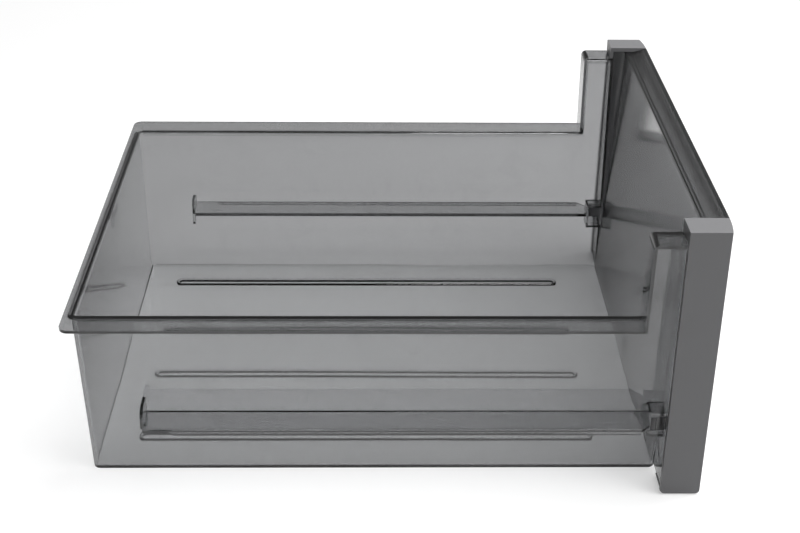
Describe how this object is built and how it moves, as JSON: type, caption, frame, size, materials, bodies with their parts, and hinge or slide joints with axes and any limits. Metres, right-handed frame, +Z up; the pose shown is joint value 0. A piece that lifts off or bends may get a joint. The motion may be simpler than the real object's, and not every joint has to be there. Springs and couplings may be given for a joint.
{
  "type": "freezer drawer",
  "caption": "Clear smoky tub with side runner ledges, a tall front frame with a clip-fitted front panel, and two channel-shaped end caps.",
  "frame": {"origin": "middle of the drawer's footprint, on the plane its floor rests on", "axes": "+X to the right as seen from the front, -Y out of the front face, +Z up"},
  "size_m": [0.38, 0.453, 0.2115],
  "materials": {
    "clear_smoke": "clear smoky grey polystyrene, polished",
    "panel_smoke": "clear smoky grey polystyrene, polished",
    "silver_grey": "satin silver-grey plastic with fine metallic grain"
  },
  "bodies": {
    "root": {"tub": "clear_smoke", "front_panel": "panel_smoke", "end_cap_left": "silver_grey", "end_cap_right": "silver_grey"}
  },
  "joints": []
}
